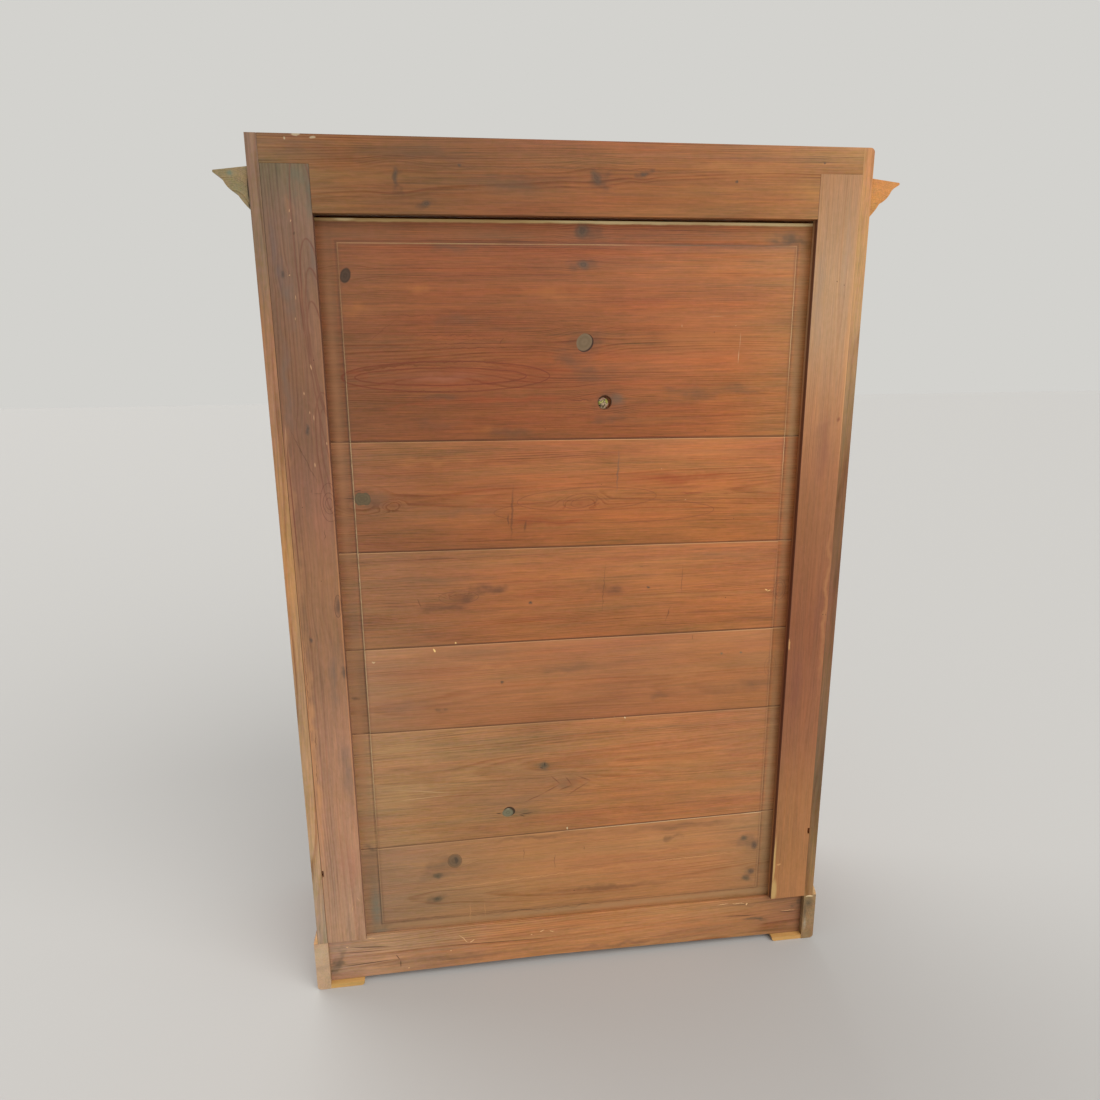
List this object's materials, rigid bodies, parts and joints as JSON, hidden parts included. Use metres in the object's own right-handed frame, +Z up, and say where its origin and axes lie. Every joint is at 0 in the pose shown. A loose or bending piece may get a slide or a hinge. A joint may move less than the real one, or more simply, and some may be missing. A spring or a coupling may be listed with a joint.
{
  "type": "display cabinet",
  "caption": "Tall stained pine display cabinet with a framed plank back, glazed doors over wood panels, shelves, cornice and plinth.",
  "frame": {"origin": "on the floor, at the middle of the cabinet's overall width and depth", "axes": "+Z up, +X to the right of someone facing the doors, -Y out of the doors, +Y out of the framed back"},
  "size_m": [1.332, 0.488, 1.843],
  "materials": {
    "back_pine": "satin",
    "panel_pine": "satin",
    "stained_pine": "satin",
    "bare_pine": "matte",
    "old_glass": "gloss",
    "brass": "satin",
    "steel": "satin"
  },
  "bodies": {
    "cabinet": {"back_stile_right": "back_pine", "back_stile_left": "back_pine", "back_top_rail": "back_pine", "plinth_rear_rail": "back_pine", "back_plank_1": "panel_pine", "back_plank_2": "panel_pine", "back_plank_3": "panel_pine", "back_plank_4": "panel_pine", "back_plank_5": "panel_pine", "back_plank_6": "panel_pine", "side_board_right": "stained_pine", "side_board_left": "stained_pine", "front_stile_right": "stained_pine", "front_stile_left": "stained_pine", "lintel": "stained_pine", "sill": "stained_pine", "cornice_front": "stained_pine", "cornice_right": "stained_pine", "cornice_left": "stained_pine", "plinth_front": "stained_pine", "plinth_right": "stained_pine", "plinth_left": "stained_pine", "plinth_moulding": "stained_pine", "top_board": "bare_pine", "bottom_board": "bare_pine", "shelf_1": "bare_pine", "shelf_2": "bare_pine", "shelf_3": "bare_pine", "shelf_cleats": "bare_pine", "rear_pad_right": "bare_pine", "rear_pad_left": "bare_pine", "frame_hinge_leaves": "brass", "hinge_pins": "brass"},
    "right_door": {"right_door_hinge_stile": "stained_pine", "right_door_meeting_stile": "stained_pine", "right_door_top_rail": "stained_pine", "right_door_middle_rail": "stained_pine", "right_door_bottom_rail": "stained_pine", "right_door_panel": "stained_pine", "right_door_glazing_bars": "stained_pine", "right_door_glazing_beads": "stained_pine", "right_door_glass": "old_glass", "right_door_hinge_leaves": "brass", "lock_case": "steel", "keyhole_plate": "brass"},
    "left_door": {"left_door_hinge_stile": "stained_pine", "left_door_meeting_stile": "stained_pine", "left_door_top_rail": "stained_pine", "left_door_middle_rail": "stained_pine", "left_door_bottom_rail": "stained_pine", "left_door_panel": "stained_pine", "left_door_glazing_bars": "stained_pine", "left_door_glazing_beads": "stained_pine", "left_door_glass": "old_glass", "left_door_hinge_leaves": "brass", "slide_bolt_plates": "steel"},
    "key": {"key": "steel"},
    "lock_bolt": {"lock_bolt": "steel"},
    "upper_slide_bolt": {"upper_slide_bolt": "steel"},
    "lower_slide_bolt": {"lower_slide_bolt": "steel"}
  },
  "joints": [
    {"name": "right_door_hinge", "type": "hinge", "parent": "cabinet", "child": "right_door", "pos_m": [0.547, -0.1879, 0.93], "axis": [0, 0, 1], "range_deg": [0, 110]},
    {"name": "left_door_hinge", "type": "hinge", "parent": "cabinet", "child": "left_door", "pos_m": [-0.547, -0.1879, 0.93], "axis": [0, 0, -1], "range_deg": [0, 110]},
    {"name": "key_turn", "type": "hinge", "parent": "right_door", "child": "key", "pos_m": [0.025, -0.182, 0.9109], "axis": [0, -1, 0], "range_deg": [0, 180]},
    {"name": "lock_bolt_slide", "type": "slide", "parent": "right_door", "child": "lock_bolt", "axis": [-1, 0, 0], "range_m": [0, 0.01]},
    {"name": "upper_bolt_slide", "type": "slide", "parent": "left_door", "child": "upper_slide_bolt", "axis": [0, 0, 1], "range_m": [0, 0.012]},
    {"name": "lower_bolt_slide", "type": "slide", "parent": "left_door", "child": "lower_slide_bolt", "axis": [0, 0, -1], "range_m": [0, 0.012]}
  ],
  "couplings": [
    {"joint": "key_turn", "follows": "lock_bolt_slide", "rad_per_m": 314.16}
  ]
}
